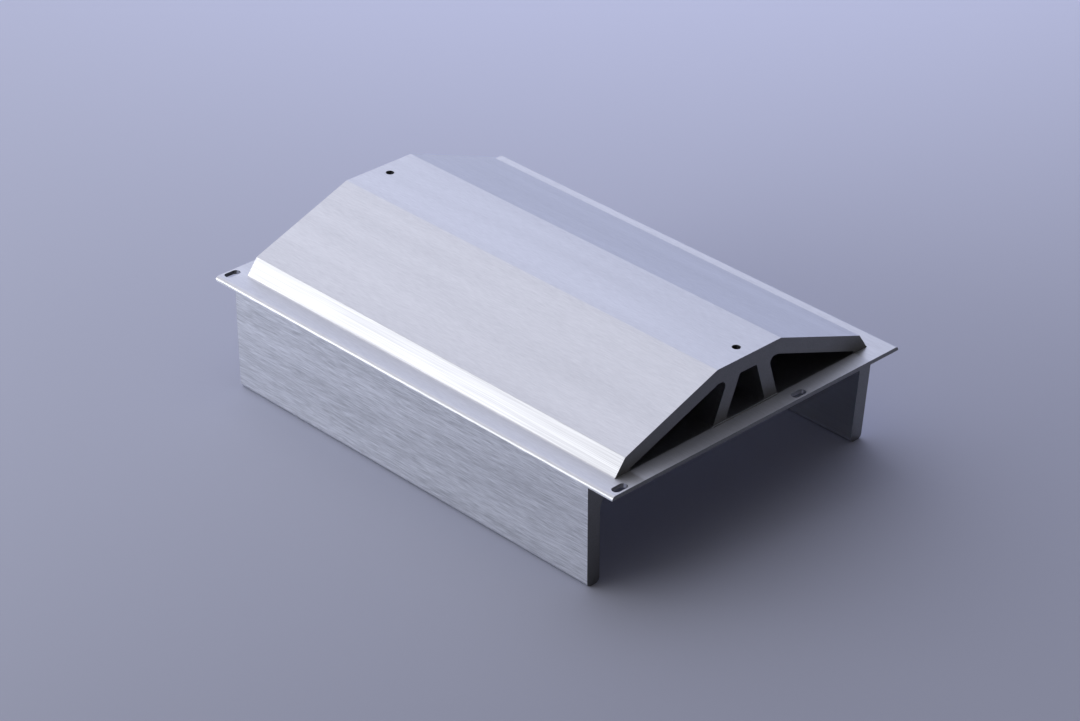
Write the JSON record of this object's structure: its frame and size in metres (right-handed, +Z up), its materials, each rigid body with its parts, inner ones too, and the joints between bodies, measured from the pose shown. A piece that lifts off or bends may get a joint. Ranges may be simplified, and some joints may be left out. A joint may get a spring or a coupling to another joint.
{
  "type": "aluminium extrusion profile",
  "caption": "Extruded aluminium profile: a two-legged channel under a low hollow roof, cut to length, with milled tongues, slots and ridge holes at the ends.",
  "frame": {"origin": "middle of the footprint, on the floor under the legs", "axes": "+X across the section, +Y along the extrusion, +Z up from the legs to the ridge"},
  "size_m": [0.2, 0.27, 0.088],
  "materials": {
    "satin_aluminium": "extruded satin with fine lengthwise lines"
  },
  "bodies": {
    "root": {"profile": "satin_aluminium"}
  },
  "joints": []
}
